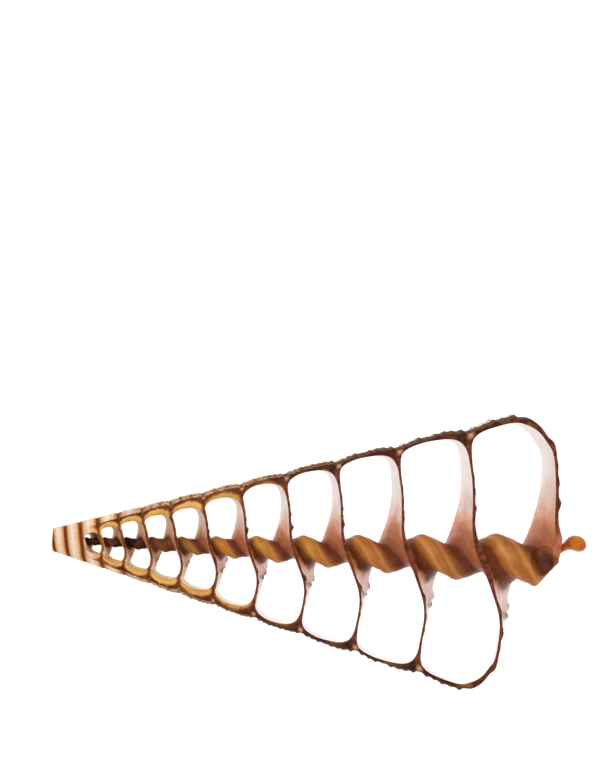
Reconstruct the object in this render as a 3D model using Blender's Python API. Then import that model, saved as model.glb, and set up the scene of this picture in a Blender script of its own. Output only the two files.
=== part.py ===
"""Auger shell slice: a tall spired sea shell sawn lengthwise on both sides of its axis, one solid.

The shell grows along +X from its tip. Its chamber is one tube that winds round a twisted central
pillar, and two saw cuts, one under and one over the pillar, open the tube into two rows of windows.
The slice lies on its lower cut face, which is the plane z = 0. Lengths are millimetres here, and
each mesh is made in metres.
"""

import math

import bmesh
import bpy
from mathutils import Matrix, Vector

MM = 0.001

# The growth spiral: after some turns the dividing wall lies SPIRAL_REACH * TURN_GROWTH ** turns
# past a point that is SPIRAL_OFFSET behind the tip of the cone that wraps the shell.
SPIRAL_REACH = 82.8
TURN_GROWTH = 1.1658
SPIRAL_OFFSET = 6.7
CONE_SLOPE = 0.293

# Axial places measured from the tip of that cone, and turns of the dividing wall.
BLUNT_TIP = 6.8
BASE_END = 93.0
FIRST_TURN, LIP_TURN, LIP_STEP = -10.625, 0.125, 0.01
PILLAR_END, PILLAR_END_SLOPE = 92.7, 1.15
PILLAR_START, SHORTEST_PILLAR = 0.09, 0.14

# Walls and relief. The dividing wall keeps its thickness in the small early turns, and the outer
# wall is thicker there.
SEPTUM_WALL, SEPTUM_ADVANCE = 0.43, 0.038
THIN_ROOF_FROM, ROOF_TAPER_LENGTH, ROOF_THICKENING = 42.0, 18.0, 0.13
OUTSIDE_SHARE, SEAM_DEPTH = 0.998, 0.03

# The two saw cuts leave a slab that is thicker towards the base.
HALF_THICKNESS_AT_TIP = 2.9
HALF_THICKNESS_SLOPE = 0.0225
SLAB_MARGIN = 20.0

# The thick rounded fold that ends the pillar beyond the base.
FOLD_RADIUS, FOLD_WINDING_RADIUS = 1.15, 3.35
FOLD_FROM, FOLD_TO = 0.45, 1.09
FOLD_START, FOLD_ADVANCE = 87.4, 14.6
FOLD_TAPER, FOLD_TIP_RADIUS = 0.07, 0.05

# The middle of the finished slice, seen from above.
MIDDLE_X, MIDDLE_Y = 51.46, 0.98

# How finely it is modelled. Steps are counted along a turn, and sides round a tube.
STEPS_PER_TURN = 16
RINGS_PER_TURN = 4
SIDES = 24
FOLD_STEPS, FOLD_SIDES = 20, 10
ROUNDING = 0.01
WELD = 1e-7

# The chamber's outline in a half plane through the axis. The first value is how far along the
# turn a point lies, from one dividing wall (0) to the next (1). The second is its share of the
# cone's radius there. The rear wall runs outwards, and the front wall runs back to the pillar.
REAR_WALL = (
    (0.050, 0.215), (0.032, 0.310), (0.078, 0.410), (0.062, 0.490), (0.052, 0.600),
    (0.030, 0.760),
)
ROOF = (
    (0.024, 0.890), (0.090, 0.948), (0.300, 0.975), (0.560, 0.968), (0.730, 0.940),
    (0.850, 0.885), (0.930, 0.810),
)
FRONT_WALL = ((0.990, 0.715), (1.018, 0.590), (1.012, 0.450), (0.985, 0.310), (0.945, 0.190))
PILLAR = (
    (0.860, 0.115), (0.740, 0.105), (0.600, 0.142), (0.440, 0.176), (0.310, 0.145),
    (0.160, 0.125),
)

# Past the lip there is no outer wall, so the outline opens round the rounded base instead.
OPEN_ROOF = (
    (-0.010, 0.790), (-0.085, 0.850), (-0.200, 0.922), (-0.400, 0.998), (-0.550, 1.350),
    (0.600, 1.350), (1.900, 1.350),
)
OPEN_FRONT = ((2.000, 0.900), (2.000, 0.600), (2.000, 0.300), (1.950, 0.050), (1.700, 0.001))
CORE_SHARE = 0.001


def reach(turns):
    """Axial place of the dividing wall after this many turns."""
    return SPIRAL_REACH * TURN_GROWTH ** turns - SPIRAL_OFFSET


def turns_at(x):
    """How many turns the dividing wall has made when it gets to this axial place."""
    return math.log((x + SPIRAL_OFFSET) / SPIRAL_REACH) / math.log(TURN_GROWTH)


def smooth(share):
    """A soft step from 0 to 1."""
    share = min(max(share, 0.0), 1.0)
    return share * share * (3 - 2 * share)


def at_angle(turns, x, radius):
    """The point at this axial place and radius, in the half plane that the turn has reached."""
    angle = 2 * math.pi * turns
    return Vector((x, radius * math.cos(angle), radius * math.sin(angle))) * MM


def pillar_share(advance):
    """The pillar's radius share at this advance, straight between the outline's own points."""
    known = sorted(REAR_WALL[:2] + PILLAR + FRONT_WALL[-2:])
    for (a0, r0), (a1, r1) in zip(known, known[1:]):
        if advance <= a1:
            return r0 + (r1 - r0) * max(0.0, (advance - a0) / (a1 - a0))
    return known[-1][1]


def open_pillar(turns):
    """The pillar's outline past the lip, where it tapers off to the core beyond the base."""
    end = max(turns_at(PILLAR_END) - turns, SHORTEST_PILLAR)
    points = []
    for k in range(len(PILLAR)):
        advance = end - (end - PILLAR_START) * k / (len(PILLAR) - 1)
        x = reach(turns + advance)
        taper = PILLAR_END_SLOPE * (PILLAR_END - x) / (CONE_SLOPE * x)
        points.append((advance, max(CORE_SHARE, min(pillar_share(advance), taper))))
    return tuple(points)


def section(turns):
    """The chamber's outline where its rear wall has made this many turns."""
    if turns > LIP_TURN + LIP_STEP / 2:
        return REAR_WALL + OPEN_ROOF + OPEN_FRONT + open_pillar(turns)
    pitch = math.log(TURN_GROWTH) * (reach(turns) + SPIRAL_OFFSET)
    more_septum = max(0.0, SEPTUM_WALL / pitch - SEPTUM_ADVANCE)
    more_roof = ROOF_THICKENING * smooth((THIN_ROOF_FROM - reach(turns)) / ROOF_TAPER_LENGTH)
    rear = tuple((advance + more_septum, share) for advance, share in REAR_WALL)
    outline = rear + ROOF + FRONT_WALL + PILLAR
    return tuple((advance, share * (1 - more_roof * smooth(share))) for advance, share in outline)


def chamber_point(along, turns):
    """The point at this share of the way round the chamber's outline."""
    outline = section(turns)
    advance, share = outline[round(along * len(outline)) % len(outline)]
    x = reach(turns + advance)
    return at_angle(turns, x, CONE_SLOPE * x * share)


def body_point(along, turns):
    """A point of the shell's outside, as if its last turn had no end."""
    x = reach(turns)
    past_seam = turns - along
    seam = (0.5 + 0.5 * math.cos(2 * math.pi * past_seam)) ** 2
    return at_angle(along, x, CONE_SLOPE * x * (OUTSIDE_SHARE - SEAM_DEPTH * seam))


def fold_point(along, turns):
    """A point of the rounded fold, a tapering bar that winds round the axis."""
    end = min(1.0, (FOLD_TO - turns) / FOLD_TAPER)
    radius = max(FOLD_RADIUS * math.sqrt(max(0.0, 1 - (1 - end) ** 2)), FOLD_TIP_RADIUS)
    side = radius * math.cos(2 * math.pi * along)
    out = radius * math.sin(2 * math.pi * along)
    pitch = math.atan2(FOLD_ADVANCE, 2 * math.pi * FOLD_WINDING_RADIUS)
    x = FOLD_START + FOLD_ADVANCE * (turns - 0.5) + side * math.cos(pitch)
    back = side * math.sin(pitch) / (2 * math.pi * FOLD_WINDING_RADIUS)
    return at_angle(turns - back, x, FOLD_WINDING_RADIUS + out)


def rows_between(first, last, per_turn):
    """Evenly spaced turns from first to last, about this many to a turn."""
    steps = math.ceil((last - first) * per_turn - ROUNDING)
    return [first + (last - first) * k / steps for k in range(steps + 1)]


def tube(name, point_at, rows, sides):
    """A closed solid from a grid that is rolled into a tube and capped at both ends."""
    mesh = bmesh.new()
    steps = len(rows) - 1
    bmesh.ops.create_grid(mesh, x_segments=sides, y_segments=steps, size=0.5)
    for vertex in mesh.verts:
        side = round((vertex.co.x + 0.5) * sides) % sides
        vertex.co = point_at(side / sides, rows[round((vertex.co.y + 0.5) * steps)])
    bmesh.ops.remove_doubles(mesh, verts=mesh.verts, dist=WELD)
    bmesh.ops.holes_fill(mesh, edges=[e for e in mesh.edges if e.is_boundary], sides=0)
    bmesh.ops.recalc_face_normals(mesh, faces=mesh.faces)
    return new_object(name, mesh)


def new_object(name, mesh):
    """An object that holds this mesh."""
    data = bpy.data.meshes.new(name)
    mesh.to_mesh(data)
    mesh.free()
    return bpy.data.objects.new(name, data)


def half_thickness(x):
    """Half the thickness of the slab at this axial place."""
    return HALF_THICKNESS_AT_TIP + HALF_THICKNESS_SLOPE * x


def slab(name):
    """The wedge-shaped block of space between the two saw cuts."""
    mesh = bmesh.new()
    bmesh.ops.create_cube(mesh, size=2.0)
    for vertex in mesh.verts:
        x = BASE_END / 2 + vertex.co.x * (BASE_END / 2 + SLAB_MARGIN)
        wide = CONE_SLOPE * BASE_END + SLAB_MARGIN
        vertex.co = Vector((x, vertex.co.y * wide, vertex.co.z * half_thickness(x))) * MM
    return new_object(name, mesh)


def cut(target, cutter, operation):
    """Adds a Boolean to the target."""
    modifier = target.modifiers.new(cutter.name, "BOOLEAN")
    modifier.operation = operation
    modifier.solver = "EXACT"
    modifier.object = cutter


def shell_material():
    """Glossy caramel shell."""
    material = bpy.data.materials.new("shell")
    material.use_nodes = True
    surface = material.node_tree.nodes["Principled BSDF"]
    surface.inputs["Base Color"].default_value = (0.42, 0.22, 0.11, 1.0)
    surface.inputs["Roughness"].default_value = 0.35
    surface.inputs["Metallic"].default_value = 0.0
    return material


def main():
    for old in list(bpy.data.objects):
        bpy.data.objects.remove(old)
    parts = bpy.data.collections.new("auger_shell_slice")
    cutters = bpy.data.collections.new("cutters")
    cutters.hide_render = True
    for collection in (parts, cutters):
        bpy.context.scene.collection.children.link(collection)

    rings = rows_between(turns_at(BLUNT_TIP), turns_at(BASE_END), RINGS_PER_TURN)
    shell = tube("auger_shell", body_point, rings, SIDES)
    wound = rows_between(FIRST_TURN, LIP_TURN, STEPS_PER_TURN)
    opened = rows_between(LIP_TURN, LIP_TURN + 1, STEPS_PER_TURN)
    opened[0], opened[-1] = opened[0] + LIP_STEP, opened[-1] - LIP_STEP
    chamber = tube("chamber", chamber_point, wound + opened, len(section(FIRST_TURN)))
    fold = tube("fold", fold_point, rows_between(FOLD_FROM, FOLD_TO, FOLD_STEPS), FOLD_SIDES)
    between_cuts = slab("between_cuts")

    tilt = math.atan(HALF_THICKNESS_SLOPE)
    axis_frame = bpy.data.objects.new("axis_frame", None)
    lift = HALF_THICKNESS_AT_TIP * math.cos(tilt)
    axis_frame.matrix_world = (
        Matrix.Translation(Vector((-MIDDLE_X, -MIDDLE_Y, lift)) * MM)
        @ Matrix.Rotation(-tilt, 4, "Y")
    )
    parts.objects.link(axis_frame)
    parts.objects.link(shell)
    shell.parent = axis_frame
    for cutter in (chamber, fold, between_cuts):
        cutters.objects.link(cutter)
        cutter.parent = axis_frame
        cutter.hide_render = True
        cutter.display_type = "WIRE"

    cut(shell, chamber, "DIFFERENCE")
    cut(shell, fold, "UNION")
    cut(shell, between_cuts, "INTERSECT")
    shell.data.materials.append(shell_material())
    shell.data.shade_smooth()
    shell.data.set_sharp_from_angle(angle=math.radians(35))


main()
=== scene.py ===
"""Auger shell slice: the finished look of a tall spired shell that was sawn lengthwise on both sides
of its axis.

The shell grows along +X from its tip. Its chamber is one tube wound round a twisted central pillar,
and two saw cuts open that tube into two rows of windows. Shapes are worked out in millimetres in the
shell's own axis frame, then set down on the lower cut face, which is the plane z = 0.
"""

import logging
import math
from dataclasses import dataclass, field
from enum import Enum
from typing import Callable, Sequence

import bmesh
import bpy
from mathutils import Matrix, Vector, noise


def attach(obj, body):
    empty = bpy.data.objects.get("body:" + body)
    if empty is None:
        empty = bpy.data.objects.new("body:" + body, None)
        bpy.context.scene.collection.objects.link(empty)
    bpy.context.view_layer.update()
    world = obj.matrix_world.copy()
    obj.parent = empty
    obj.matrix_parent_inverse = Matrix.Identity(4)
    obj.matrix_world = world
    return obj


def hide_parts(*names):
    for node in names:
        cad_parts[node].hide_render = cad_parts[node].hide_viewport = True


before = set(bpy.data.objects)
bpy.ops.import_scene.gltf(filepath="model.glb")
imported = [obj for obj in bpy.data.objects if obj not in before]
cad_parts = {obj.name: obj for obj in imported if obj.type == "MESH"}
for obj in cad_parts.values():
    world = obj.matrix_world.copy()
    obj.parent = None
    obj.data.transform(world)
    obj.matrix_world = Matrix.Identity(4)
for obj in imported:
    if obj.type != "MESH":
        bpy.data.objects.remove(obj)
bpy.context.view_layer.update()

MM = 0.001
FULL_TURN = 2 * math.pi
WELD = 1e-7
SHARP_EDGE = math.radians(38)
LOG = logging.getLogger("auger_shell")

Span = tuple[float, float]
Outline = Sequence[Span]
Point = tuple[float, float, float]
Shade = tuple[float, float, float, float]
Object = bpy.types.Object
Socket = bpy.types.NodeSocket
Tree = bpy.types.NodeTree
Value = float | Socket
Look = tuple[Socket, Socket, Socket]
Sockets = bpy.types.bpy_prop_collection


class Surface(Enum):
    """Which finish a face takes. The value is its material's name."""

    SKIN = "outer_skin"
    GLAZE = "chamber_glaze"
    SAWN = "sawn_face"

    @property
    def slot(self) -> int:
        """The number of its material slot, which is the same on every solid."""
        return list(Surface).index(self)


def eased(share: float) -> float:
    """A soft step from 0 to 1."""
    share = min(max(share, 0.0), 1.0)
    return share * share * (3 - 2 * share)


def hump(value: float, middle: float, width: float) -> float:
    """A bell that is 1 at the middle and fades over the width."""
    return math.exp(-(((value - middle) / width) ** 2))


def paint(code: str) -> Shade:
    """A linear colour from a six-digit colour code.

    Args:
        code: two hexadecimal digits each for red, green and blue.

    Returns:
        Red, green, blue and an alpha of 1.
    """
    parts = [int(code[k : k + 2], 16) / 255 for k in (0, 2, 4)]
    red, green, blue = (p / 12.92 if p <= 0.04045 else ((p + 0.055) / 1.055) ** 2.4 for p in parts)
    return red, green, blue, 1.0


# ---- growth of the shell


@dataclass(frozen=True)
class GrowthSpiral:
    """The law that every whorl follows, with places measured from the tip of the wrapping cone."""

    spiral_reach: float = 82.8
    growth: float = 1.1658
    offset: float = 6.7
    slope: float = 0.293

    def reach(self, turns: float) -> float:
        """Axial place of the dividing wall after this many turns."""
        return self.spiral_reach * self.growth**turns - self.offset

    def turns_at(self, x: float) -> float:
        """How many turns the dividing wall has made when it gets to this axial place."""
        return math.log((x + self.offset) / self.spiral_reach) / math.log(self.growth)

    def pitch(self, turns: float) -> float:
        """Axial gap from this wall to the next, for a small share of a turn."""
        return math.log(self.growth) * (self.reach(turns) + self.offset)

    def place(self, turns: float, x: float, radius: float) -> Vector:
        """The point at this axial place and radius, in the half plane that the turn has reached."""
        angle = FULL_TURN * turns
        return Vector((x, radius * math.cos(angle), radius * math.sin(angle)))


@dataclass(frozen=True)
class AxisFrame:
    """Where the shell's axis lies once the slice rests on its lower cut face."""

    middle_x: float = 51.46
    middle_y: float = 0.98
    half_thickness_at_tip: float = 2.42
    half_thickness_slope: float = 0.0277

    @property
    def tilt(self) -> float:
        """The angle that the lower cut makes with the axis."""
        return math.atan(self.half_thickness_slope)

    def half_thickness(self, x: float) -> float:
        """Half the thickness of the slice at this axial place."""
        return self.half_thickness_at_tip + self.half_thickness_slope * x

    def matrix(self) -> Matrix:
        """Takes a point of the axis frame, in millimetres, to its place in metres.

        Returns:
            The transform from the axis frame to the shared one.
        """
        lift = self.half_thickness_at_tip * math.cos(self.tilt)
        move = Matrix.Translation(Vector((-self.middle_x, -self.middle_y, lift)) * MM)
        return move @ Matrix.Rotation(-self.tilt, 4, "Y") @ Matrix.Scale(MM, 4)


SPIRAL = GrowthSpiral()
AXIS = AxisFrame()


def even_rows(first: float, last: float, steps: int) -> list[float]:
    """Evenly spaced turns, with both ends among them."""
    return [first + (last - first) * k / steps for k in range(steps + 1)]


def circle(sides: int) -> list[Span]:
    """The corners of a round outline, as shares of its radius."""
    turned = (FULL_TURN * k / sides for k in range(sides))
    return [(math.cos(angle), math.sin(angle)) for angle in turned]


def crowded_rows(first: float, last: float, per_turn: int, crowding: float = 0.5) -> list[float]:
    """Turns that lie closer together where the cuts cross the outer whorls.

    Args:
        first: where the rows start, in turns before they are crowded.
        last: where they end.
        per_turn: how many rows make a turn.
        crowding: 0 for even rows, up to 1 for rows that bunch at both cut edges.

    Returns:
        The rows as turns, in order.
    """
    even = even_rows(first, last, round((last - first) * per_turn))
    return [u - crowding * math.sin(2 * FULL_TURN * u) / (2 * FULL_TURN) for u in even]


def smooth_loop(points: Outline, spans: int, straight: range) -> list[Span]:
    """Rounds a closed outline.

    Args:
        points: the outline's corners in order.
        spans: how many points replace each corner.
        straight: corners that a straight stretch leaves.

    Returns:
        Points of a closed curve that runs through every corner.
    """
    count = len(points)
    curve = []
    for k in range(count):
        before, here, after, beyond = (points[(k + j) % count] for j in (-1, 0, 1, 2))
        for step in range(spans):
            t = step / spans
            weights = (
                (-t + 2 * t**2 - t**3) / 2,
                (2 - 5 * t**2 + 3 * t**3) / 2,
                (t + 4 * t**2 - 3 * t**3) / 2,
                (t**3 - t**2) / 2,
            )
            if k in straight:
                weights = (0.0, 1 - t, t, 0.0)
            near = (before, here, after, beyond)
            curve.append(tuple(sum(w * p[c] for w, p in zip(weights, near)) for c in (0, 1)))
    return curve


def rolled_tube(
    name: str,
    ring_at: Callable[[float], list[Vector]],
    rows: Sequence[float],
    surface: Surface,
) -> Object:
    """A closed solid from a grid that is rolled into a tube and capped at both ends.

    Args:
        name: the new object's name.
        ring_at: gives the closed ring of points for a row.
        rows: the turns at which rings lie.
        surface: the finish of its faces.

    Returns:
        The solid, in the axis frame's millimetres.
    """
    rings = [ring_at(turns) for turns in rows]
    sides, steps = len(rings[0]), len(rows) - 1
    mesh = bmesh.new()
    bmesh.ops.create_grid(mesh, x_segments=sides, y_segments=steps, size=0.5)
    for vertex in mesh.verts:
        side = round((vertex.co.x + 0.5) * sides) % sides
        vertex.co = rings[round((vertex.co.y + 0.5) * steps)][side]
    bmesh.ops.remove_doubles(mesh, verts=mesh.verts, dist=WELD / MM)
    bmesh.ops.holes_fill(mesh, edges=[e for e in mesh.edges if e.is_boundary], sides=0)
    return solid(name, mesh, surface)


def placed(name: str, data: bpy.types.ID) -> Object:
    """An object that holds this data, linked to the scene.

    Args:
        name: the object's name.
        data: its mesh, lamp or camera.

    Returns:
        The new object.
    """
    made = bpy.data.objects.new(name, data)
    bpy.context.scene.collection.objects.link(made)
    return made


def solid(name: str, mesh: bmesh.types.BMesh, surface: Surface) -> Object:
    """Makes an object of a closed mesh, with its faces outward and on one finish.

    Args:
        name: the new object's name.
        mesh: the closed mesh, which is used up.
        surface: the finish of its faces.

    Returns:
        The object, linked to the scene.
    """
    bmesh.ops.recalc_face_normals(mesh, faces=mesh.faces)
    for face in mesh.faces:
        face.material_index = surface.slot
        face.smooth = True
    data = bpy.data.meshes.new(name)
    for kind in Surface:
        data.materials.append(bpy.data.materials[kind.value])
    mesh.to_mesh(data)
    mesh.free()
    return placed(name, data)


def combined(base: Object, other: Object, operation: str) -> Object:
    """Does one Boolean and uses up both objects.

    Args:
        base: the solid that is added to or cut.
        other: the solid that joins or cuts it.
        operation: the Boolean modifier's operation.

    Returns:
        An object that holds the result.
    """
    modifier = base.modifiers.new(other.name, "BOOLEAN")
    modifier.operation = operation
    modifier.solver = "EXACT"
    modifier.object = other
    graph = bpy.context.evaluated_depsgraph_get()
    made = placed(base.name, bpy.data.meshes.new_from_object(base.evaluated_get(graph)))
    for spent in (base, other):
        bpy.data.objects.remove(spent)
    return made


# ---- the shapes that make the slice


@dataclass(frozen=True)
class Cord:
    """A beaded ridge that winds along the chamber's rear wall."""

    share: float
    width: float
    height: float
    beads: int = 0
    beading: float = 0.0
    shift: float = 0.0

    def height_at(self, turns: float, share: float) -> float:
        """How far the ridge stands out here, as a share of a whorl's length."""
        bead = self.beading * math.cos(FULL_TURN * self.beads * turns + self.shift)
        return self.height * (1 - self.beading + bead) * hump(share, self.share, self.width)


@dataclass
class Chamber:
    """The hollow of the shell: a tube wound round the pillar, open past the lip.

    Outlines lie in a half plane through the axis. The first value is how far along the turn a
    point lies, from one dividing wall (0) to the next (1), and the second is its share of the
    cone's radius there.
    """

    rear_wall: Outline = (
        (0.05, 0.215), (0.034, 0.31), (0.05, 0.41), (0.06, 0.5), (0.057, 0.6),
        (0.026, 0.76),
    )
    roof: Outline = (
        (0.024, 0.89), (0.09, 0.948), (0.3, 0.975), (0.56, 0.97), (0.76, 0.95),
        (0.89, 0.905), (0.966, 0.825),
    )
    young_roof: Outline = (
        (0.034, 0.83), (0.115, 0.905), (0.29, 0.95), (0.52, 0.948), (0.73, 0.922),
        (0.87, 0.87), (0.955, 0.795),
    )
    last_roof: Outline = (
        (0.024, 0.89), (0.117, 0.946), (0.306, 0.964), (0.55, 0.963), (0.69, 0.93),
        (0.83, 0.87), (0.935, 0.785),
    )
    front_wall: Outline = (
        (1.0, 0.715), (1.026, 0.59), (1.022, 0.45), (0.99, 0.31), (0.95, 0.19),
    )
    pillar: Outline = (
        (0.86, 0.115), (0.74, 0.105), (0.6, 0.142), (0.44, 0.176), (0.31, 0.145),
        (0.16, 0.125),
    )
    open_roof: Outline = (
        (-0.055, 0.822), (-0.15, 0.902), (-0.27, 0.96), (-0.42, 0.994), (-0.58, 1.15),
        (0.6, 1.35), (1.9, 1.35),
    )
    open_front: Outline = (
        (2.0, 0.9), (2.0, 0.6), (2.0, 0.3), (1.95, 0.05), (1.7, 0.006),
    )
    core_share: float = 0.006
    first_turn: float = -10.625
    lip_turn: float = 0.1875
    lip_step: float = 0.01
    pillar_end: float = 92.7
    pillar_end_slope: float = 1.15
    pillar_start: float = 0.09
    shortest_pillar: float = 0.14
    septum_wall: float = 0.43
    septum_advance: float = 0.038
    thin_roof_from: float = 42.0
    roof_taper_length: float = 18.0
    roof_thickening: float = 0.13
    last_roof_turn: float = 0.2
    young_until: float = 62.0
    young_length: float = 30.0
    young_pillar: float = 0.135
    cords: Sequence[Cord] = (
        Cord(0.40, 0.030, 0.060, beads=15, beading=0.45, shift=0.9),
        Cord(0.53, 0.022, 0.022, beads=22, beading=0.4),
        Cord(0.63, 0.020, 0.009),
    )
    sag: float = 0.030
    lag: float = 0.058
    thread_height: float = 0.0035
    threads: int = 7
    crest: float = 0.44
    bare_from: float = 0.25
    bare_share: float = 0.47
    edge_share: float = 0.885
    edge_slope: float = 0.2
    rows_per_turn: int = 64
    spans: int = 4

    def pillar_share(self, advance: float) -> float:
        """The pillar's radius share at this advance, straight between the outline's own points.

        Args:
            advance: place along the turn.

        Returns:
            The share of the cone's radius.
        """
        known = sorted((*self.rear_wall[:2], *self.pillar, *self.front_wall[-2:]))
        for (a0, r0), (a1, r1) in zip(known, known[1:]):
            if advance <= a1:
                return r0 + (r1 - r0) * max(0.0, (advance - a0) / (a1 - a0))
        return known[-1][1]

    def open_pillar(self, turns: float) -> Outline:
        """The pillar's outline past the lip, where it tapers off to the core beyond the base.

        Args:
            turns: turns of the rear wall.

        Returns:
            The outline's corners in order.
        """
        end = max(SPIRAL.turns_at(self.pillar_end) - turns, self.shortest_pillar)
        points = []
        for k in range(len(self.pillar)):
            advance = end - (end - self.pillar_start) * k / (len(self.pillar) - 1)
            x = SPIRAL.reach(turns + advance)
            taper = self.pillar_end_slope * (self.pillar_end - x) / (SPIRAL.slope * x)
            share = max(self.core_share, min(self.pillar_share(advance), taper))
            points.append((advance, share))
        return points

    def section(self, turns: float, past_lip: bool) -> Outline:
        """The outline where its rear wall has made this many turns.

        Args:
            turns: turns of the rear wall.
            past_lip: whether the outer wall has ended.

        Returns:
            The outline's corners in order.
        """
        if past_lip:
            return (*self.rear_wall, *self.open_roof, *self.open_front, *self.open_pillar(turns))
        more_septum = max(0.0, self.septum_wall / SPIRAL.pitch(turns) - self.septum_advance)
        reached = (self.thin_roof_from - SPIRAL.reach(turns)) / self.roof_taper_length
        more_roof = self.roof_thickening * eased(reached)
        rear = [(advance + more_septum, share) for advance, share in self.rear_wall]
        stout = self.young_pillar * self.youth(turns)
        pillar = [(advance, max(share, stout)) for advance, share in self.pillar]
        outline = (*rear, *self.roof_at(turns), *self.front_wall, *pillar)
        return [(advance, share * (1 - more_roof * eased(share))) for advance, share in outline]

    def youth(self, turns: float) -> float:
        """How far this whorl still has the shapes of a young one, from 1 down to 0."""
        return eased((self.young_until - SPIRAL.reach(turns)) / self.young_length)

    def roof_at(self, turns: float) -> Outline:
        """The roof, rounder in the young whorls and lower in the last one.

        Args:
            turns: turns of the rear wall.

        Returns:
            The roof's corners in order.
        """
        young, last = self.youth(turns), eased((turns + 1) / self.last_roof_turn)
        mixed = zip(self.roof, self.young_roof, self.last_roof)
        return [
            tuple(r + young * (y - r) + last * (e - r) for r, y, e in zip(*points))
            for points in mixed
        ]

    def relief(self, turns: float, advance: float, share: float) -> Span:
        """The small forms on the chamber's walls: beaded cords, pillar threads and a slight sag.

        Args:
            turns: turns of the rear wall.
            advance: place along the turn.
            share: share of the cone's radius.

        Returns:
            The advance and share of the finished point.
        """
        below = 0.5 - 0.5 * math.cos(FULL_TURN * turns)
        advance += self.sag * below * hump(share, 0.45, 0.16)
        swing = math.sin(FULL_TURN * turns) - 0.5 * math.sin(2 * FULL_TURN * turns) - 0.5 * below
        lagging = self.lag * eased((share - 0.25) / 0.35)
        on_rear = eased((0.16 - advance) / 0.06) * eased((share - 0.2) / 0.06)
        cords = sum(cord.height_at(turns, share) for cord in self.cords)
        advance += cords * on_rear + lagging * swing
        on_pillar = eased((0.205 - share) / 0.05) * hump(advance, self.crest, 0.22)
        thread = math.cos(FULL_TURN * self.threads * (advance - self.crest))
        share += self.thread_height * on_pillar * thread
        return advance, share

    def ring(self, turns: float) -> list[Vector]:
        """The ring of finished points at this many turns.

        Args:
            turns: turns of the rear wall.

        Returns:
            Points in the axis frame, in order.
        """
        past_lip = turns > self.lip_at() + self.lip_step / 2
        roof_end = len(self.rear_wall) + 3
        straight = range(roof_end, len(self.section(turns, past_lip)) - 5) if past_lip else range(0)
        points = []
        for advance, share in smooth_loop(self.section(turns, past_lip), self.spans, straight):
            advance, share = self.relief(turns, advance, max(share, self.core_share))
            x = SPIRAL.reach(turns + advance)
            points.append(SPIRAL.place(turns, x, SPIRAL.slope * x * share))
        return points

    def lip_at(self) -> float:
        """The turn at which the outer wall ends."""
        return crowded_rows(self.lip_turn, self.lip_turn + 1, self.rows_per_turn)[0]

    def build(self) -> Object:
        """Makes the hollow as a solid to be cut away.

        Returns:
            The hollow, open past the lip.
        """
        wound = crowded_rows(self.first_turn, self.lip_turn, self.rows_per_turn)
        opened = crowded_rows(self.lip_turn, self.lip_turn + 1, self.rows_per_turn)
        opened[0] += self.lip_step
        opened[-1] -= self.lip_step
        made = rolled_tube("chamber", self.ring, wound + opened, Surface.GLAZE)
        for face in made.data.polygons:
            if self.is_bare(face):
                face.material_index = Surface.SKIN.slot
        return made

    def is_bare(self, face: bpy.types.MeshPolygon) -> bool:
        """Whether a face makes the outside of the last dividing wall, which no whorl covers.

        Args:
            face: a face of the hollow's mesh.

        Returns:
            True for a face that takes the outer skin.
        """
        x, y, z = face.center
        turn = (math.atan2(z, y) / FULL_TURN) % 1.0
        wound = SPIRAL.turns_at(x) - turn - (turn < self.lip_turn)
        share = math.hypot(y, z) / (SPIRAL.slope * x)
        on_wall = wound > -self.bare_from and share > self.bare_share
        on_edge = -3 * self.bare_from < wound <= -self.bare_from
        on_edge = on_edge and share > self.edge_share - self.edge_slope * wound
        return face.normal.x < 0.2 and (on_wall or on_edge)


@dataclass
class OuterSkin:
    """The outside of the shell, with a groove at each seam and beaded cords wound between."""

    blunt_tip: float = 6.8
    base_end: float = 92.6
    share: float = 0.992
    seam_depth: float = 0.030
    cord_height: float = 0.024
    even_cords_at: float = 45.0
    cords: Sequence[Point] = (
        (0.09, 0.026, 1.2), (0.20, 0.022, 0.6), (0.31, 0.026, 0.9), (0.43, 0.022, 0.5),
        (0.55, 0.026, 0.8), (0.67, 0.022, 0.6), (0.78, 0.024, 0.7), (0.90, 0.030, 1.3),
    )
    beads_per_turn: int = 44
    rows_per_turn: int = 36
    sides: int = 144

    def relief(self, past_seam: float, along: float) -> float:
        """How far the surface stands proud of the cone, as a share of its radius.

        Args:
            past_seam: turns from the seam to the point.
            along: how far round the axis the point lies, in turns.

        Returns:
            The height, which is below 0 in the groove.
        """
        phase = past_seam % 1.0
        seam = (0.5 + 0.5 * math.cos(FULL_TURN * phase)) ** 3
        high = -self.seam_depth * seam
        even = (self.even_cords_at / SPIRAL.reach(along)) ** 0.7
        for k, (middle, width, height) in enumerate(self.cords):
            wander = 1.7 * noise.noise(Vector((past_seam * 3.1, middle * 9, k)))
            bead = 0.5 + 0.5 * math.cos(FULL_TURN * self.beads_per_turn * along + 2.1 * k + wander)
            bead *= 0.8 + 0.9 * noise.noise(Vector((past_seam * 1.7, k, 9.0)))
            high += self.cord_height * even * height * hump(phase, middle, width) * (0.4 + 0.8 * bead)
        return high

    def ring(self, turns: float) -> list[Vector]:
        """The ring of points round the axis where the seam has made this many turns.

        Args:
            turns: turns that the seam has made.

        Returns:
            Points in the axis frame, in order.
        """
        x = SPIRAL.reach(turns)
        points = []
        for along in crowded_rows(0.0, 1.0, self.sides, 0.6)[:-1]:
            rough = 0.007 * noise.noise(Vector((x * 0.35, along * 19, 4.0)))
            share = self.share + self.relief(turns - along, along) + rough
            points.append(SPIRAL.place(along, x, SPIRAL.slope * x * share))
        return points

    def build(self) -> Object:
        """Makes the outside as one solid, as if the last turn had no end.

        Returns:
            The outside as a closed solid.
        """
        first, last = SPIRAL.turns_at(self.blunt_tip), SPIRAL.turns_at(self.base_end)
        rows = even_rows(first, last, math.ceil((last - first) * self.rows_per_turn))
        return rolled_tube("skin", self.ring, rows, Surface.SKIN)


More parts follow.
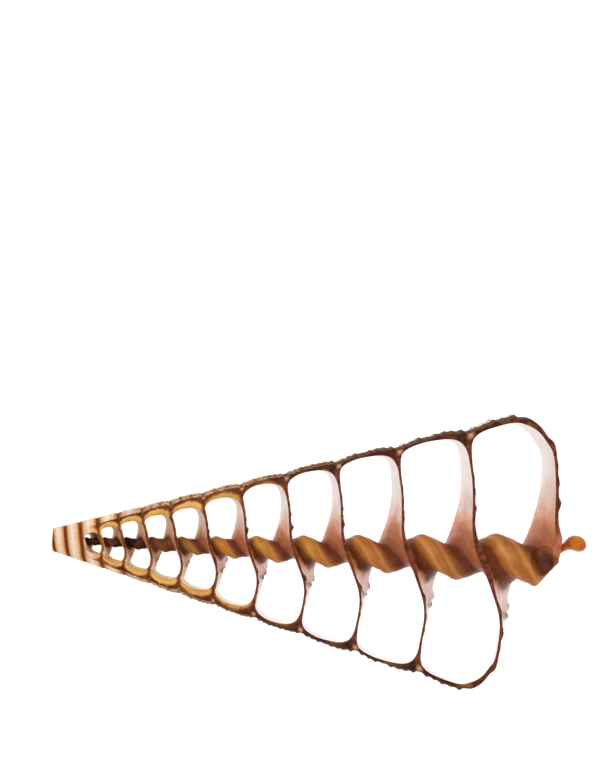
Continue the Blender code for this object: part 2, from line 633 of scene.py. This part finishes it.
@dataclass
class SiphonFold:
    """The pillar's end: its crest runs out as a rounded fold, with a web inside it and a scoop."""

    radius: float = 1.15
    winding_radius: float = 3.35
    first: float = 0.34
    last: float = 1.125
    emerged: float = 0.62
    start: float = 87.4
    advance: float = 14.6
    taper: float = 0.07
    web_back: float = 1.1
    web_thickness: float = 1.1
    web_last: float = 0.94
    web_fading: float = 0.25
    sunk: float = 1.6
    inner_end: float = 2.9
    waist: float = 0.91
    waist_length: float = 0.075
    waist_radius: float = 0.68
    tip_radius: float = 1.36
    waist_winding: float = 2.65
    bowl_middle: Point = (89.7, 0.4, -0.7)
    bowl_reach: Point = (2.7, 2.7, 2.3)
    scoop_middle: Point = (90.0, -0.1, 4.4)
    scoop_reach: Point = (2.4, 3.4, 4.1)
    scoop_turn: float = math.radians(26)
    sides: int = 24
    steps: int = 72

    def winding(self, turns: float) -> float:
        """How far from the axis the fold's middle runs. It rises out of the pillar.

        Args:
            turns: how far the fold has wound.

        Returns:
            The middle's distance in millimetres.
        """
        sunk = self.sunk * eased((self.emerged - turns) / (self.emerged - self.first))
        drawn_in = (self.winding_radius - self.waist_winding) * self.waisted(turns)
        return self.winding_radius - sunk - drawn_in

    def waisted(self, turns: float) -> float:
        """How far the fold is drawn in to its waist here, from 0 to 1."""
        return hump(turns, self.waist, self.waist_length)

    def thickness(self, turns: float) -> float:
        """The fold's own radius: thin at its waist and thick at its rounded tip."""
        fuller = self.radius + (self.tip_radius - self.radius) * eased((turns - self.waist) / 0.1)
        return fuller + (self.waist_radius - fuller) * self.waisted(turns)

    def fold_ring(self, turns: float) -> list[Vector]:
        """A ring of the rounded fold, a tapering bar that winds round the axis.

        Args:
            turns: how far the fold has wound.

        Returns:
            Points in the axis frame, in order.
        """
        end = min(1.0, (self.last - turns) / self.taper)
        radius = max(self.thickness(turns) * math.sqrt(max(0.0, 1 - (1 - end) ** 2)), 0.03)
        winding = self.winding(turns)
        pitch = math.atan2(self.advance, FULL_TURN * self.winding_radius)
        points = []
        for side, out in circle(self.sides):
            side, out = radius * side, radius * out
            x = self.start + self.advance * (turns - 0.5) + side * math.cos(pitch)
            back = side * math.sin(pitch) / (FULL_TURN * self.winding_radius)
            points.append(SPIRAL.place(turns - back, x, winding + out))
        return points

    def web_ring(self, turns: float) -> list[Vector]:
        """A ring of the thin web that joins the fold to the pillar.

        Args:
            turns: how far the fold has wound.

        Returns:
            Points in the axis frame, in order.
        """
        fading = eased((self.web_last - turns) / self.web_fading)
        thick = self.web_thickness * (0.3 + 0.7 * fading)
        middle = self.start + self.advance * (turns - 0.5) - self.web_back * fading
        inner, outer = self.inner_end - 2.8 * fading, self.winding(turns) - 0.05
        points = []
        for along, out in circle(self.sides):
            radius = inner + (outer - inner) * (0.5 + 0.5 * out)
            points.append(SPIRAL.place(turns, middle + thick * along, radius))
        return points

    def rounded(self, name: str, middle: Point, reach: Point) -> Object:
        """A rounded lump, for the bowl under the last valley and for the scoop that hollows it.

        Args:
            name: the lump's name.
            middle: its middle in the axis frame.
            reach: how far it reaches along each of its axes.

        Returns:
            The lump as a solid.
        """
        mesh = bmesh.new()
        bmesh.ops.create_uvsphere(mesh, u_segments=64, v_segments=40, radius=1.0)
        bmesh.ops.scale(mesh, verts=mesh.verts, vec=reach)
        turned = Matrix.Rotation(self.scoop_turn, 3, "Z")
        bmesh.ops.rotate(mesh, verts=mesh.verts, cent=(0, 0, 0), matrix=turned)
        bmesh.ops.translate(mesh, verts=mesh.verts, vec=middle)
        return solid(name, mesh, Surface.GLAZE)

    def build(self) -> dict[str, Object]:
        """Makes the fold, the web, the bowl and the scoop, by name.

        Returns:
            Solids that overlap each other and the pillar.
        """
        rows = even_rows(self.first, self.last, self.steps)
        webbed = [t for t in rows if t < self.web_last]
        return {
            "fold": rolled_tube("fold", self.fold_ring, rows, Surface.GLAZE),
            "web": rolled_tube("web", self.web_ring, webbed, Surface.GLAZE),
            "bowl": self.rounded("bowl", self.bowl_middle, self.bowl_reach),
            "scoop": self.rounded("scoop", self.scoop_middle, self.scoop_reach),
        }


@dataclass
class SawCuts:
    """The wedge-shaped block of space between the two saw cuts."""

    length: float = 93.0
    margin: float = 20.0

    def build(self) -> Object:
        """Makes the block whose faces are the two sawn faces.

        Returns:
            The block as a closed solid.
        """
        mesh = bmesh.new()
        bmesh.ops.create_cube(mesh, size=2.0)
        for vertex in mesh.verts:
            x = self.length / 2 + vertex.co.x * (self.length / 2 + self.margin)
            wide = SPIRAL.slope * self.length + self.margin
            vertex.co = Vector((x, vertex.co.y * wide, vertex.co.z * AXIS.half_thickness(x)))
        return solid("saw_cuts", mesh, Surface.SAWN)


# ---- node wiring


class Wiring:
    """Places and links the nodes of one tree."""

    def __init__(self, tree: Tree) -> None:
        """Keeps the tree that this wiring works on."""
        self.tree = tree

    def feed(self, socket: Socket, value: object) -> None:
        """Links a socket to another, or sets it to a plain value.

        Args:
            socket: the input to link or set.
            value: a socket, or a plain value.
        """
        if isinstance(value, Socket):
            self.tree.links.new(value, socket)
        else:
            socket.default_value = value

    def add(self, kind: str, **settings: object) -> bpy.types.Node:
        """Adds a node of this kind and sets its properties.

        Args:
            kind: the node's type.
            settings: its properties by name.

        Returns:
            The new node.
        """
        node = self.tree.nodes.new(kind)
        for name, value in settings.items():
            setattr(node, name, value)
        return node

    def calc(self, operation: str, *values: Value, clamp: bool = False) -> Socket:
        """Does one sum on up to three values.

        Args:
            operation: the Math node's operation.
            values: its inputs, in order.
            clamp: whether the result is held between 0 and 1.

        Returns:
            The socket that holds the result.
        """
        node = self.add("ShaderNodeMath", operation=operation, use_clamp=clamp)
        for socket, value in zip(node.inputs, values):
            self.feed(socket, value)
        return node.outputs[0]

    def span(self, value: Value, low: float, high: float) -> Socket:
        """A soft step that is 0 at low and 1 at high, whichever is greater.

        Args:
            value: the value to judge.
            low: where the step starts.
            high: where it ends.

        Returns:
            The socket that holds the step.
        """
        node = self.add("ShaderNodeMapRange", interpolation_type="SMOOTHSTEP")
        flipped = low > high
        self.feed(node.inputs["Value"], value)
        self.feed(node.inputs["From Min"], min(low, high))
        self.feed(node.inputs["From Max"], max(low, high))
        self.feed(node.inputs["To Min"], 1.0 if flipped else 0.0)
        self.feed(node.inputs["To Max"], 0.0 if flipped else 1.0)
        return node.outputs["Result"]

    def band(self, value: Value, middle: float, width: float) -> Socket:
        """A mask that is 1 at the middle and fades to 0 over the width on each side."""
        away = self.calc("ABSOLUTE", self.calc("SUBTRACT", value, middle))
        return self.span(away, width, 0.0)

    def blend(self, factor: Value, low: object, high: object, mode: str = "MIX") -> Socket:
        """Mixes two colours.

        Args:
            factor: 0 for the low colour, 1 for the high one.
            low: a colour or a socket.
            high: a colour or a socket.
            mode: how the high colour goes onto the low one.

        Returns:
            The socket that holds the mixed colour.
        """
        node = self.add("ShaderNodeMix", data_type="RGBA", blend_type=mode)
        self.feed(node.inputs[0], factor)
        self.feed(node.inputs[6], low)
        self.feed(node.inputs[7], high)
        return node.outputs[2]

    def times(self, *values: Value) -> Value:
        """The product of these values.

        Args:
            values: sockets or plain values.

        Returns:
            The product, as a socket if there are several.
        """
        product = values[0]
        for value in values[1:]:
            product = self.calc("MULTIPLY", product, value)
        return product

    def seam(self, phase: Socket, before: float, after: float) -> Socket:
        """A mask round the seam, where the phase starts again from 0."""
        return self.calc("MAXIMUM", self.band(phase, 0.0, after), self.band(phase, 1.0, before))

    def shade(self, mask: Value, low: str, high: str) -> Socket:
        """A colour between two plain ones."""
        return self.blend(mask, paint(low), paint(high))

    def tint(self, color: Socket, code: str, *masks: Value) -> Socket:
        """Lays a plain colour over another as far as the masks let it, all multiplied."""
        return self.blend(self.times(*masks), color, paint(code))

    def ramp(self, value: Value, stops: Sequence[tuple[float, str]]) -> Socket:
        """A colour that runs through these stops.

        Args:
            value: the place along the ramp.
            stops: places and colour codes, in order.

        Returns:
            The socket that holds the colour.
        """
        node = self.add("ShaderNodeValToRGB")
        self.feed(node.inputs[0], value)
        row = node.color_ramp
        row.interpolation = "EASE"
        while len(row.elements) < len(stops):
            row.elements.new(0.5)
        for element, (place, code) in zip(row.elements, stops):
            element.position = place
            element.color = paint(code)
        return node.outputs[0]

    def noise(self, vector: Socket, scale: Value, detail: float = 3.0) -> Socket:
        """A soft cloud of values from 0 to 1.

        Args:
            vector: the place.
            scale: how fine the cloud is.
            detail: how many finer layers it has.

        Returns:
            The socket that holds the value.
        """
        node = self.add("ShaderNodeTexNoise")
        self.feed(node.inputs["Vector"], vector)
        self.feed(node.inputs["Scale"], scale)
        self.feed(node.inputs["Detail"], detail)
        return node.outputs["Fac"]


Group = tuple[Wiring, Sockets, Sockets]


def effect_group(name: str, inputs: dict[str, str], outputs: dict[str, str]) -> Group:
    """An empty shader node group with named sockets.

    Args:
        name: the group's name.
        inputs: socket types by input name.
        outputs: socket types by output name.

    Returns:
        The group's wiring, what its user gives it, and the outputs that it makes.
    """
    tree = bpy.data.node_groups.new(name, "ShaderNodeTree")
    for in_out, sockets in (("INPUT", inputs), ("OUTPUT", outputs)):
        for socket, kind in sockets.items():
            tree.interface.new_socket(name=socket, in_out=in_out, socket_type=kind)
    given, made = tree.nodes.new("NodeGroupInput"), tree.nodes.new("NodeGroupOutput")
    return Wiring(tree), given.outputs, made.inputs


FLOAT, VECTOR, COLOR = "NodeSocketFloat", "NodeSocketVector", "NodeSocketColor"


def growth_place() -> Tree:
    """Where a point lies in the shell's growth, such as its whorl's phase and its radius share.

    Returns:
        The node group.
    """
    outputs = {name: FLOAT for name in ("Phase", "Share", "Axial", "Turn", "Up")}
    wire, given, made = effect_group("growth_place", {"Place": VECTOR}, outputs)
    split = wire.add("ShaderNodeSeparateXYZ")
    wire.feed(split.inputs[0], given["Place"])
    axial, across, up = split.outputs
    squared = wire.calc("ADD", wire.times(across, across), wire.times(up, up))
    radius = wire.calc("SQRT", squared)
    turn = wire.calc("DIVIDE", wire.calc("ARCTAN2", up, across), FULL_TURN)
    grown = wire.calc("DIVIDE", wire.calc("ADD", axial, SPIRAL.offset), SPIRAL.spiral_reach)
    turns = wire.calc("LOGARITHM", wire.calc("MAXIMUM", grown, 0.001), SPIRAL.growth)
    cone = wire.calc("MAXIMUM", wire.times(axial, SPIRAL.slope), 0.01)
    phase = wire.calc("FRACT", wire.calc("SUBTRACT", turns, turn))
    share = wire.calc("DIVIDE", radius, cone)
    for name, value in zip(outputs, (phase, share, axial, turn, up)):
        wire.feed(made[name], value)
    return wire.tree


def growth_lines() -> Tree:
    """Fine lines that cross the whorls, as the shell was laid down.

    Returns:
        The node group.
    """
    inputs = {"Place": VECTOR, "Fineness": FLOAT}
    wire, given, made = effect_group("growth_lines", inputs, {"Height": FLOAT})
    split = wire.add("ShaderNodeSeparateXYZ")
    wire.feed(split.inputs[0], given["Place"])
    flat = wire.add("ShaderNodeCombineXYZ")
    wire.feed(flat.inputs[1], split.outputs[1])
    wire.feed(flat.inputs[2], split.outputs[2])
    unit = wire.add("ShaderNodeVectorMath", operation="NORMALIZE")
    wire.feed(unit.inputs[0], flat.outputs[0])
    along = wire.add("ShaderNodeVectorMath", operation="MULTIPLY_ADD")
    wire.feed(along.inputs[0], given["Place"])
    along.inputs[1].default_value = (0.012, 0.0, 0.0)
    wire.feed(along.inputs[2], unit.outputs[0])
    wire.feed(made["Height"], wire.noise(along.outputs[0], given["Fineness"]))
    return wire.tree


def mottling() -> Tree:
    """Soft patches with some contrast.

    Returns:
        The node group.
    """
    inputs = {"Place": VECTOR, "Scale": FLOAT, "Low": FLOAT, "High": FLOAT}
    wire, given, made = effect_group("mottling", inputs, {"Mask": FLOAT})
    spread = wire.add("ShaderNodeMapRange", interpolation_type="SMOOTHSTEP")
    wire.feed(spread.inputs["Value"], wire.noise(given["Place"], given["Scale"], 4.0))
    wire.feed(spread.inputs["From Min"], given["Low"])
    wire.feed(spread.inputs["From Max"], given["High"])
    wire.feed(made["Mask"], spread.outputs["Result"])
    return wire.tree


def young_bands() -> Tree:
    """Cream bands between wide brown seams, as on the first whorls, with fine spiral threads.

    Returns:
        The node group.
    """
    inputs = {"Phase": FLOAT, "Lines": FLOAT}
    wire, given, made = effect_group("young_bands", inputs, {"Color": COLOR})
    phase = given["Phase"]
    bands = wire.ramp(phase, (
        (0.00, "4e1c06"), (0.07, "6a2c0c"), (0.14, "c07a3a"), (0.24, "e8bc90"),
        (0.45, "f6e2d2"), (0.70, "eecba6"), (0.84, "d8924e"), (0.92, "7a3610"),
        (1.00, "4e1c06"),
    ))
    thread = wire.calc("SINE", wire.times(phase, 8 * FULL_TURN))
    thread = wire.calc("MULTIPLY_ADD", thread, 0.5, 0.5)
    broken = wire.span(given["Lines"], 0.35, 0.60)
    wire.feed(made["Color"], wire.tint(bands, "a8642c", thread, broken, 0.45))
    return wire.tree


@dataclass(frozen=True)
class Effects:
    """The node groups that the finishes share, each built once."""

    growth: Tree = field(default_factory=growth_place)
    lines: Tree = field(default_factory=growth_lines)
    mottle: Tree = field(default_factory=mottling)
    young: Tree = field(default_factory=young_bands)


# ---- finishes


class SurfaceWiring(Wiring):
    """The wiring of one material, which knows where each point lies in the shell's growth."""

    def __init__(self, tree: Tree, effects: Effects) -> None:
        """Finds the point in the axis frame, in millimetres, and then in the growth.

        Args:
            tree: the material's own nodes.
            effects: the shared node groups.
        """
        super().__init__(tree)
        self.effects = effects
        mapping = self.add("ShaderNodeMapping", vector_type="POINT")
        mapping.inputs["Location"].default_value = AXIS.matrix().inverted().to_translation()
        mapping.inputs["Rotation"].default_value = (0.0, AXIS.tilt, 0.0)
        mapping.inputs["Scale"].default_value = (1 / MM,) * 3
        self.feed(mapping.inputs["Vector"], self.add("ShaderNodeTexCoord").outputs["Object"])
        self.place = mapping.outputs[0]
        grown = self.use(effects.growth, Place=self.place)
        self.phase, self.share, self.axial, turn, self.up = grown
        self.turn = self.calc("ABSOLUTE", turn)

    def use(self, group: Tree, **values: object) -> Sequence[Socket]:
        """Places a shared effect with its own values, and gives its outputs.

        Args:
            group: the effect.
            values: what it is given, by name.

        Returns:
            The effect's outputs, in order.
        """
        node = self.add("ShaderNodeGroup", node_tree=group)
        for name, value in values.items():
            self.feed(node.inputs[name], value)
        return list(node.outputs)

    def lines(self, fineness: float) -> Socket:
        """Fine growth lines."""
        return self.use(self.effects.lines, Place=self.place, Fineness=fineness)[0]

    def patches(self, scale: float, low: float, high: float) -> Socket:
        """Soft patches. Values from low to high of the cloud are spread over 0 to 1."""
        values = {"Scale": scale, "Low": low, "High": high}
        return self.use(self.effects.mottle, Place=self.place, **values)[0]

    def young_bands(self, lines: Socket) -> Socket:
        """The colours of the first whorls."""
        return self.use(self.effects.young, Phase=self.phase, Lines=lines)[0]


@dataclass(frozen=True)
class Finish:
    """What every finish of the shell has in common."""

    surface: Surface
    gloss_roughness: float = 0.35
    bump: float = 0.2
    bump_distance: float = 0.0002
    subsurface: float = 0.12
    subsurface_scale: float = 0.0012
    specular: float = 0.3

    def material(self, effects: Effects) -> bpy.types.Material:
        """Builds the material from its colour, roughness and height.

        Args:
            effects: the shared node groups.

        Returns:
            The finished material.
        """
        made = bpy.data.materials.new(self.surface.value)
        made.use_nodes = True
        wire = SurfaceWiring(made.node_tree, effects)
        shader = made.node_tree.nodes["Principled BSDF"].inputs
        color, roughness, height = self.look(wire)
        wire.feed(shader["Base Color"], color)
        wire.feed(shader["Roughness"], roughness)
        bump = wire.add("ShaderNodeBump")
        bump.inputs["Strength"].default_value = self.bump
        bump.inputs["Distance"].default_value = self.bump_distance
        wire.feed(bump.inputs["Height"], height)
        wire.feed(shader["Normal"], bump.outputs[0])
        shader["Subsurface Weight"].default_value = self.subsurface
        shader["Subsurface Radius"].default_value = (1.0, 0.45, 0.22)
        shader["Subsurface Scale"].default_value = self.subsurface_scale
        shader["Specular IOR Level"].default_value = self.specular
        return made

    def look(self, wire: SurfaceWiring) -> Look:
        """The colour, roughness and bump height over the surface.

        Args:
            wire: the material's wiring.

        Returns:
            Sockets for colour, roughness and height.
        """
        raise NotImplementedError


@dataclass(frozen=True)
class GlazeFinish(Finish):
    """The smooth lining of the chamber and the glossy pillar."""

    # Middle and reach of the painted shade laid in the scoop's hollow at the siphonal end.
    hollow: Point = (90.4, -0.5, 0.6)
    hollow_shade_reach: float = 3.0
    pillar_edge: Span = (0.25, 0.17)
    lower_walls: Span = (0.28, 0.46)
    lower_lift: float = 0.13
    warm_walls: Span = (46.0, 16.0)
    # Axial places of the golden colour and painted highlight along the pillar's crest.
    golden_crest_and_highlight: Span = (66.0, 42.0)
    dark_pillar: Span = (36.0, 22.0)
    amber_end: Span = (89.5, 94.0)

    def look(self, wire: SurfaceWiring) -> Look:
        """Porcelain walls that turn salmon, then caramel and brown on the pillar.

        Args:
            wire: the material's wiring.

        Returns:
            Sockets for colour, roughness and height.
        """
        phase, axial = wire.phase, wire.axial
        lines, mask = wire.lines(34.0), wire.patches(0.35, 0.35, 0.65)
        waver = wire.calc("MULTIPLY_ADD", wire.noise(wire.place, 0.5), 0.12, -0.06)
        share = wire.calc("ADD", wire.share, waver)
        below = wire.span(wire.turn, *self.lower_walls)
        wall = wire.ramp(wire.calc("MULTIPLY_ADD", below, self.lower_lift, share), (
            (0.17, "8c4424"), (0.24, "c2784c"), (0.31, "dc9c78"), (0.39, "e2c6b8"),
            (0.60, "e6dcd8"), (0.95, "f8f4f1"),
        ))
        warm = wire.shade(wire.span(share, 0.35, 0.85), "c88a4a", "f4dcae")
        wall = wire.blend(wire.span(axial, *self.warm_walls), wall, warm)
        curl = wire.calc("ADD", phase, wire.times(waver, 0.6))
        curl = wire.calc("FRACT", wire.calc("MULTIPLY_ADD", lines, 0.04, curl))
        # The lighter stops round the pillar's crest, from 0.29 to 0.55, are partly its golden colour
        # and partly a painted highlight along the crest.
        pillar = wire.ramp(curl, (
            (0.00, "84421c"), (0.06, "54240c"), (0.20, "6a3210"), (0.29, "ac6a2a"),
            (0.36, "cc8c4c"), (0.43, "b06c30"), (0.49, "a4622a"), (0.55, "bc7c40"),
            (0.62, "94542a"), (0.71, "6c341a"), (0.80, "682e1c"), (0.90, "9e5a3a"),
            (0.97, "b87452"),
        ))
        # Partly the pillar's golden colour and partly a painted highlight: golden laid along the crest
        # on the younger whorls.
        golden = wire.span(axial, *self.golden_crest_and_highlight)
        pillar = wire.tint(pillar, "dca03c", golden, wire.band(curl, 0.40, 0.24), 0.5)
        dark = wire.shade(mask, "24100a", "7a4420")
        pillar = wire.blend(wire.span(axial, *self.dark_pillar), pillar, dark)
        color = wire.blend(wire.span(share, *self.pillar_edge), wall, pillar)
        # Mottled warm brown multiplied over the walls, stronger towards the pillar.
        pillar_ward_mottle = wire.times(mask, wire.span(share, 0.62, 0.30), 0.25)
        color = wire.blend(pillar_ward_mottle, color, paint("a8694a"), "MULTIPLY")
        knob = wire.times(wire.band(share, 0.40, 0.07), wire.band(phase, 0.11, 0.08))
        color = wire.tint(color, "6a3418", knob, mask)
        amber = wire.shade(mask, "b0561a", "dc8c34")
        color = wire.blend(wire.span(axial, *self.amber_end), color, amber)
        # Painted shade: dark brown over the scoop's hollow at the siphonal end, strongest at its
        # middle.
        away = wire.add("ShaderNodeVectorMath", operation="DISTANCE")
        wire.feed(away.inputs[0], wire.place)
        away.inputs[1].default_value = self.hollow
        inside = wire.span(away.outputs["Value"], self.hollow_shade_reach, self.hollow_shade_reach * 0.45)
        color = wire.tint(color, "4e2a1a", inside, 0.85)
        roughness = wire.calc("MULTIPLY_ADD", mask, 0.12, self.gloss_roughness)
        return color, roughness, lines


@dataclass(frozen=True)
class SawnFinish(Finish):
    """The two cut faces, which show the layers of the walls."""

    outer_wall: Span = (0.87, 0.93)
    rim: Span = (0.945, 0.975)
    dark_rim: Span = (25.0, 50.0)
    golden_walls: Span = (58.0, 30.0)
    banded_tip: Span = (15.5, 12.0)
    last_foot: Span = (90.5, 92.2)
    arch_middle: float = 0.47
    arching: float = 0.50

    def look(self, wire: SurfaceWiring) -> Look:
        """Reddish brown dividing walls, and an outer wall of dark brown with ochre patches.

        Args:
            wire: the material's wiring.

        Returns:
            Sockets for colour, roughness and height.
        """
        phase, share, axial = wire.phase, wire.share, wire.axial
        grain, patches = wire.patches(1.3, 0.35, 0.65), wire.patches(0.4, 0.38, 0.62)
        ochre = wire.times(wire.band(phase, 0.50, 0.36), wire.span(patches, 0.1, 0.9))
        outer = wire.tint(wire.shade(grain, "26120a", "522a14"), "b87a36", ochre)
        outer = wire.tint(outer, "5e2e16", wire.seam(phase, 0.09, 0.09), 0.7)
        divider = wire.shade(grain, "4e2012", "7c3e26")
        color = wire.blend(wire.span(share, *self.outer_wall), divider, outer)
        aside = wire.calc("SUBTRACT", phase, self.arch_middle)
        arch = wire.calc("MULTIPLY_ADD", wire.times(aside, aside), self.arching, share)
        arch = wire.calc("MULTIPLY_ADD", wire.calc("SUBTRACT", grain, 0.5), 0.022, arch)
        golden = wire.ramp(arch, (
            (0.60, "8a4a1a"), (0.80, "a8641f"), (0.87, "daa050"), (0.925, "e2b470"),
            (0.955, "b87430"), (0.975, "6a3414"), (1.00, "44200e"),
        ))
        golden = wire.tint(golden, "a8642c", patches, 0.35)
        joint = wire.shade(grain, "4e200a", "7c3c16")
        golden = wire.blend(wire.seam(phase, 0.11, 0.13), golden, joint)
        young = wire.times(wire.span(axial, *self.golden_walls), wire.span(share, 0.45, 0.7))
        color = wire.blend(young, color, golden)
        rim = wire.times(wire.span(share, *self.rim), wire.span(axial, *self.dark_rim))
        color = wire.tint(color, "44200e", rim, 0.75)
        knot = wire.times(wire.seam(phase, 0.065, 0.065), wire.band(share, 0.95, 0.045))
        color = wire.tint(color, "d09a70", knot, wire.span(axial, 20.0, 34.0))
        bands = wire.young_bands(wire.lines(46.0))
        color = wire.blend(wire.span(axial, *self.banded_tip), color, bands)
        foot = wire.times(wire.span(axial, *self.last_foot), wire.span(share, 0.30, 0.22))
        color = wire.tint(color, "b5714f", foot)
        saw = wire.add("ShaderNodeTexWave", wave_type="BANDS", bands_direction="Y")
        wire.feed(saw.inputs["Vector"], wire.place)
        saw.inputs["Scale"].default_value = 2.2
        saw.inputs["Distortion"].default_value = 2.5
        saw.inputs["Detail"].default_value = 2.0
        height = wire.calc("ADD", wire.times(saw.outputs["Fac"], 0.4), grain)
        roughness = wire.calc("MULTIPLY_ADD", grain, 0.15, self.gloss_roughness)
        return color, roughness, height


@dataclass(frozen=True)
class SkinFinish(Finish):
    """The beaded outside of the shell."""

    stained_edge: Span = (0.22, 0.40)
    stained_whorls: Span = (26.0, 60.0)
    # Where the painted glow lies: heights across the outside strip, and axial places.
    glow_heights: Span = (0.34, 0.16)
    glow_whorls: Span = (40.0, 70.0)
    # Where the darker side lies: turns away from turn 0, and axial places.
    darker_side: Span = (0.3, 0.42)
    darker_side_whorls: Span = (20.0, 50.0)
    banded_tip: Span = (26.0, 15.0)

    def look(self, wire: SurfaceWiring) -> Look:
        """Pale tan with broken brown bands, brown beads and dark seams.

        Args:
            wire: the material's wiring.

        Returns:
            Sockets for colour, roughness and height.
        """
        phase, axial, lines = wire.phase, wire.axial, wire.lines(46.0)
        patches, flecks = wire.patches(0.55, 0.38, 0.62), wire.patches(2.6, 0.40, 0.60)
        color = wire.tint(wire.shade(lines, "c4884a", "f0cc98"), "6a3414", flecks, 0.85)
        bands = wire.calc("MAXIMUM", wire.band(phase, 0.33, 0.10), wire.band(phase, 0.64, 0.10))
        color = wire.tint(color, "5c2f16", bands, wire.span(patches, 0.0, 0.8), 0.8)
        slope, tip = AXIS.half_thickness_slope, AXIS.half_thickness_at_tip
        thick = wire.calc("MULTIPLY_ADD", axial, slope, tip)
        height = wire.calc("DIVIDE", wire.calc("ABSOLUTE", wire.up), thick)
        stained = wire.times(
            wire.span(height, *self.stained_edge), wire.span(axial, *self.stained_whorls)
        )
        color = wire.tint(color, "3e1e10", stained, 0.9)
        # Painted light: pale grey-white on the middle of the outside strip, on the side at turn 0 of
        # the later whorls, broken by the flecks; it stands in for light from the glowing floor below.
        painted_glow = wire.times(
            wire.band(wire.turn, 0.0, 0.22),
            wire.span(height, *self.glow_heights),
            wire.calc("MULTIPLY_ADD", flecks, -0.6, 0.9),
        )
        color = wire.tint(color, "e6e0dc", painted_glow, wire.span(axial, *self.glow_whorls))
        # Darker brown over the side half a turn from turn 0, on the later whorls.
        far_side_darkening = wire.times(
            wire.span(wire.turn, *self.darker_side), wire.span(axial, *self.darker_side_whorls)
        )
        color = wire.tint(color, "42200e", far_side_darkening, 0.9)
        color = wire.tint(color, "5a2a12", wire.seam(phase, 0.08, 0.08), 0.9)
        bands = wire.young_bands(lines)
        color = wire.blend(wire.span(axial, *self.banded_tip), color, bands)
        roughness = wire.calc("MULTIPLY_ADD", lines, 0.2, self.gloss_roughness)
        return color, roughness, lines


# ---- the finished piece


@dataclass
class ShellSlice:
    """The whole slice: the outside less its chamber, with the fold joined on, between two cuts."""

    chamber: Chamber = field(default_factory=Chamber)
    skin: OuterSkin = field(default_factory=OuterSkin)
    siphon: SiphonFold = field(default_factory=SiphonFold)
    cuts: SawCuts = field(default_factory=SawCuts)
    effects: Effects = field(default_factory=Effects)

    def dress(self) -> None:
        """Makes the three materials that the solids are built with."""
        for finish in (
            SkinFinish(Surface.SKIN, gloss_roughness=0.62, bump=0.5, subsurface=0.2, specular=0.08),
            GlazeFinish(Surface.GLAZE, gloss_roughness=0.28, bump=0.12, subsurface=0.04, specular=0.14),
            SawnFinish(Surface.SAWN, gloss_roughness=0.5, bump=0.25, subsurface=0.1, specular=0.1),
        ):
            finish.material(self.effects)

    def build(self) -> Object:
        """Makes the slice as one mesh.

        Returns:
            The finished piece, with its object at the origin.
        """
        self.dress()
        siphon = self.siphon.build()
        fold = combined(siphon["web"], siphon["fold"], "UNION")
        fold = combined(fold, siphon["bowl"], "UNION")
        shell = combined(self.skin.build(), self.cuts.build(), "INTERSECT")
        shell = combined(shell, self.chamber.build(), "DIFFERENCE")
        shell = combined(shell, fold, "UNION")
        shell = combined(shell, siphon["scoop"], "DIFFERENCE")
        data = shell.data.copy()
        bpy.data.objects.remove(shell)
        data.name = "auger_shell_slice"
        data.transform(AXIS.matrix())
        data.set_sharp_from_angle(angle=SHARP_EDGE)
        piece = placed("auger_shell_slice", data)
        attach(piece, "root")
        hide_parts("auger_shell")
        data.calc_loop_triangles()
        LOG.info("%s: %d triangles", piece.name, len(data.loop_triangles))
        return piece


# ---- surroundings


@dataclass
class Studio:
    """A pale glowing floor, soft light from above, and the camera."""

    floor_size: float = 1.6
    aim: Point = (47.79, 27.14, 0.0)
    camera_height: float = 474.6
    roll: float = math.radians(2.45)
    lens: float = 129.2
    world_strength: float = 0.75

    def floor(self) -> Object:
        """A plain pale floor that glows like a light table.

        Returns:
            The floor.
        """
        mesh = bmesh.new()
        bmesh.ops.create_grid(mesh, x_segments=1, y_segments=1, size=self.floor_size / 2)
        data = bpy.data.meshes.new("floor")
        mesh.to_mesh(data)
        mesh.free()
        made = bpy.data.materials.new("light_table")
        made.use_nodes = True
        surface = made.node_tree.nodes["Principled BSDF"]
        surface.inputs["Base Color"].default_value = (0.35, 0.35, 0.35, 1.0)
        surface.inputs["Roughness"].default_value = 0.9
        surface.inputs["Emission Color"].default_value = (1.0, 1.0, 1.0, 1.0)
        surface.inputs["Emission Strength"].default_value = 0.95
        data.materials.append(made)
        floor = placed("floor", data)
        return floor

    def light(self, name: str, spot: Point, size: float, power: float) -> None:
        """Adds a soft square lamp that faces the object.

        Args:
            name: the lamp's name.
            spot: where it stands, in metres.
            size: its side.
            power: its power in watts.
        """
        lamp = bpy.data.lights.new(name, "AREA")
        lamp.size = size
        lamp.energy = power
        made = placed(name, lamp)
        made.location = spot
        made.rotation_mode = "QUATERNION"
        made.rotation_quaternion = (-Vector(spot)).to_track_quat("-Z", "Y")

    def camera(self) -> None:
        """Stands the camera over the slice, square to its middle plane."""
        seen = AXIS.matrix() @ Matrix.Scale(1 / MM, 4)
        seen @= Matrix.Translation((Vector(self.aim) + Vector((0, 0, self.camera_height))) * MM)
        seen @= Matrix.Rotation(self.roll, 4, "Z")
        data = bpy.data.cameras.new("camera")
        data.lens = self.lens
        data.clip_start, data.clip_end = 0.01, 10.0
        made = placed("camera", data)
        made.matrix_world = seen
        bpy.context.scene.camera = made

    def build(self) -> None:
        """Sets up the floor, the lights, the sky and the camera."""
        self.floor()
        self.light("key", (-0.25, 0.30, 0.60), 0.35, 1.6)
        self.light("fill", (0.40, -0.25, 0.50), 0.45, 0.7)
        world = bpy.data.worlds.new("studio")
        world.use_nodes = True
        world.node_tree.nodes["Background"].inputs["Strength"].default_value = self.world_strength
        world.node_tree.nodes["Background"].inputs["Color"].default_value = (1.0, 1.0, 1.0, 1.0)
        bpy.context.scene.world = world
        bpy.context.scene.view_settings.view_transform = "Standard"
        self.camera()


def main() -> None:
    """Builds the slice, which logs its triangle count, and its surroundings."""
    logging.basicConfig(level=logging.INFO, format="%(name)s %(message)s")
    piece = ShellSlice().build()
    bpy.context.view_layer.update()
    Studio().build()


if __name__ == "__main__":
    main()
